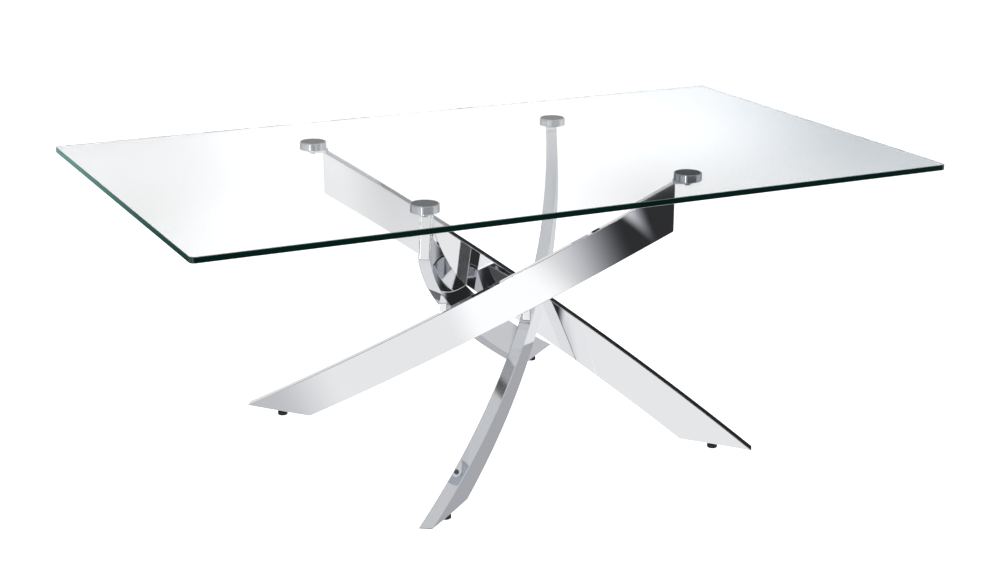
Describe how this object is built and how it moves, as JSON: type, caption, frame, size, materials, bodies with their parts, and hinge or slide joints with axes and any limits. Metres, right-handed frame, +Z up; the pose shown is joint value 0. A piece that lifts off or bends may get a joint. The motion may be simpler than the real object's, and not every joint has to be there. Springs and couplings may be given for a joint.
{
  "type": "dining table",
  "caption": "Dining table with a rectangular glass top bonded to metal discs on crossing, curved chromed blade legs with levelling feet.",
  "frame": {"origin": "on the floor under the middle of the glass top", "axes": "+X along the top's long side, +Y across it to the far side, +Z up"},
  "size_m": [2, 1.16, 0.762],
  "materials": {
    "glass": "clear float glass, polished, green at the edges",
    "bond": "cured clear adhesive film",
    "disc_metal": "satin",
    "screw_steel": "zinc plated, dull",
    "chrome": "bright polished",
    "insert_steel": "zinc plated",
    "pad_plastic": "moulded, matt black"
  },
  "bodies": {
    "table": {"glass_top": "glass", "bond_film_1": "bond", "top_disc_1": "disc_metal", "disc_screw_1": "screw_steel", "leg_1": "chrome", "top_plate_1": "chrome", "foot_plate_1": "chrome", "lug_1": "chrome", "crossing_block_1": "chrome", "foot_insert_1": "insert_steel", "bond_film_2": "bond", "top_disc_2": "disc_metal", "disc_screw_2": "screw_steel", "leg_2": "chrome", "top_plate_2": "chrome", "foot_plate_2": "chrome", "lug_2": "chrome", "crossing_block_2": "chrome", "foot_insert_2": "insert_steel", "bond_film_3": "bond", "top_disc_3": "disc_metal", "disc_screw_3": "screw_steel", "leg_3": "chrome", "top_plate_3": "chrome", "foot_plate_3": "chrome", "lug_3": "chrome", "crossing_block_3": "chrome", "foot_insert_3": "insert_steel", "bond_film_4": "bond", "top_disc_4": "disc_metal", "disc_screw_4": "screw_steel", "leg_4": "chrome", "top_plate_4": "chrome", "foot_plate_4": "chrome", "lug_4": "chrome", "crossing_block_4": "chrome", "foot_insert_4": "insert_steel"},
    "pad_1": {"foot_pad_1": "pad_plastic"},
    "stud_1": {"foot_stud_1": "screw_steel"},
    "pad_2": {"foot_pad_2": "pad_plastic"},
    "stud_2": {"foot_stud_2": "screw_steel"},
    "pad_3": {"foot_pad_3": "pad_plastic"},
    "stud_3": {"foot_stud_3": "screw_steel"},
    "pad_4": {"foot_pad_4": "pad_plastic"},
    "stud_4": {"foot_stud_4": "screw_steel"}
  },
  "joints": [
    {"name": "foot_1_rise", "type": "slide", "parent": "table", "child": "pad_1", "axis": [0, 0, -1], "range_m": [0, 0.012]},
    {"name": "foot_1_turn", "type": "hinge", "parent": "pad_1", "child": "stud_1", "pos_m": [-0.4698, 0.35932, 0], "axis": [0, 0, -1], "range_deg": [0, 2880]},
    {"name": "foot_2_rise", "type": "slide", "parent": "table", "child": "pad_2", "axis": [0, 0, -1], "range_m": [0, 0.012]},
    {"name": "foot_2_turn", "type": "hinge", "parent": "pad_2", "child": "stud_2", "pos_m": [-0.35932, -0.4698, 0], "axis": [0, 0, -1], "range_deg": [0, 2880]},
    {"name": "foot_3_rise", "type": "slide", "parent": "table", "child": "pad_3", "axis": [0, 0, -1], "range_m": [0, 0.012]},
    {"name": "foot_3_turn", "type": "hinge", "parent": "pad_3", "child": "stud_3", "pos_m": [0.4698, -0.35932, 0], "axis": [0, 0, -1], "range_deg": [0, 2880]},
    {"name": "foot_4_rise", "type": "slide", "parent": "table", "child": "pad_4", "axis": [0, 0, -1], "range_m": [0, 0.012]},
    {"name": "foot_4_turn", "type": "hinge", "parent": "pad_4", "child": "stud_4", "pos_m": [0.35932, 0.4698, 0], "axis": [0, 0, -1], "range_deg": [0, 2880]}
  ],
  "couplings": [
    {"joint": "foot_1_turn", "follows": "foot_1_rise", "rad_per_m": 4188.8},
    {"joint": "foot_2_turn", "follows": "foot_2_rise", "rad_per_m": 4188.8},
    {"joint": "foot_3_turn", "follows": "foot_3_rise", "rad_per_m": 4188.8},
    {"joint": "foot_4_turn", "follows": "foot_4_rise", "rad_per_m": 4188.8}
  ]
}
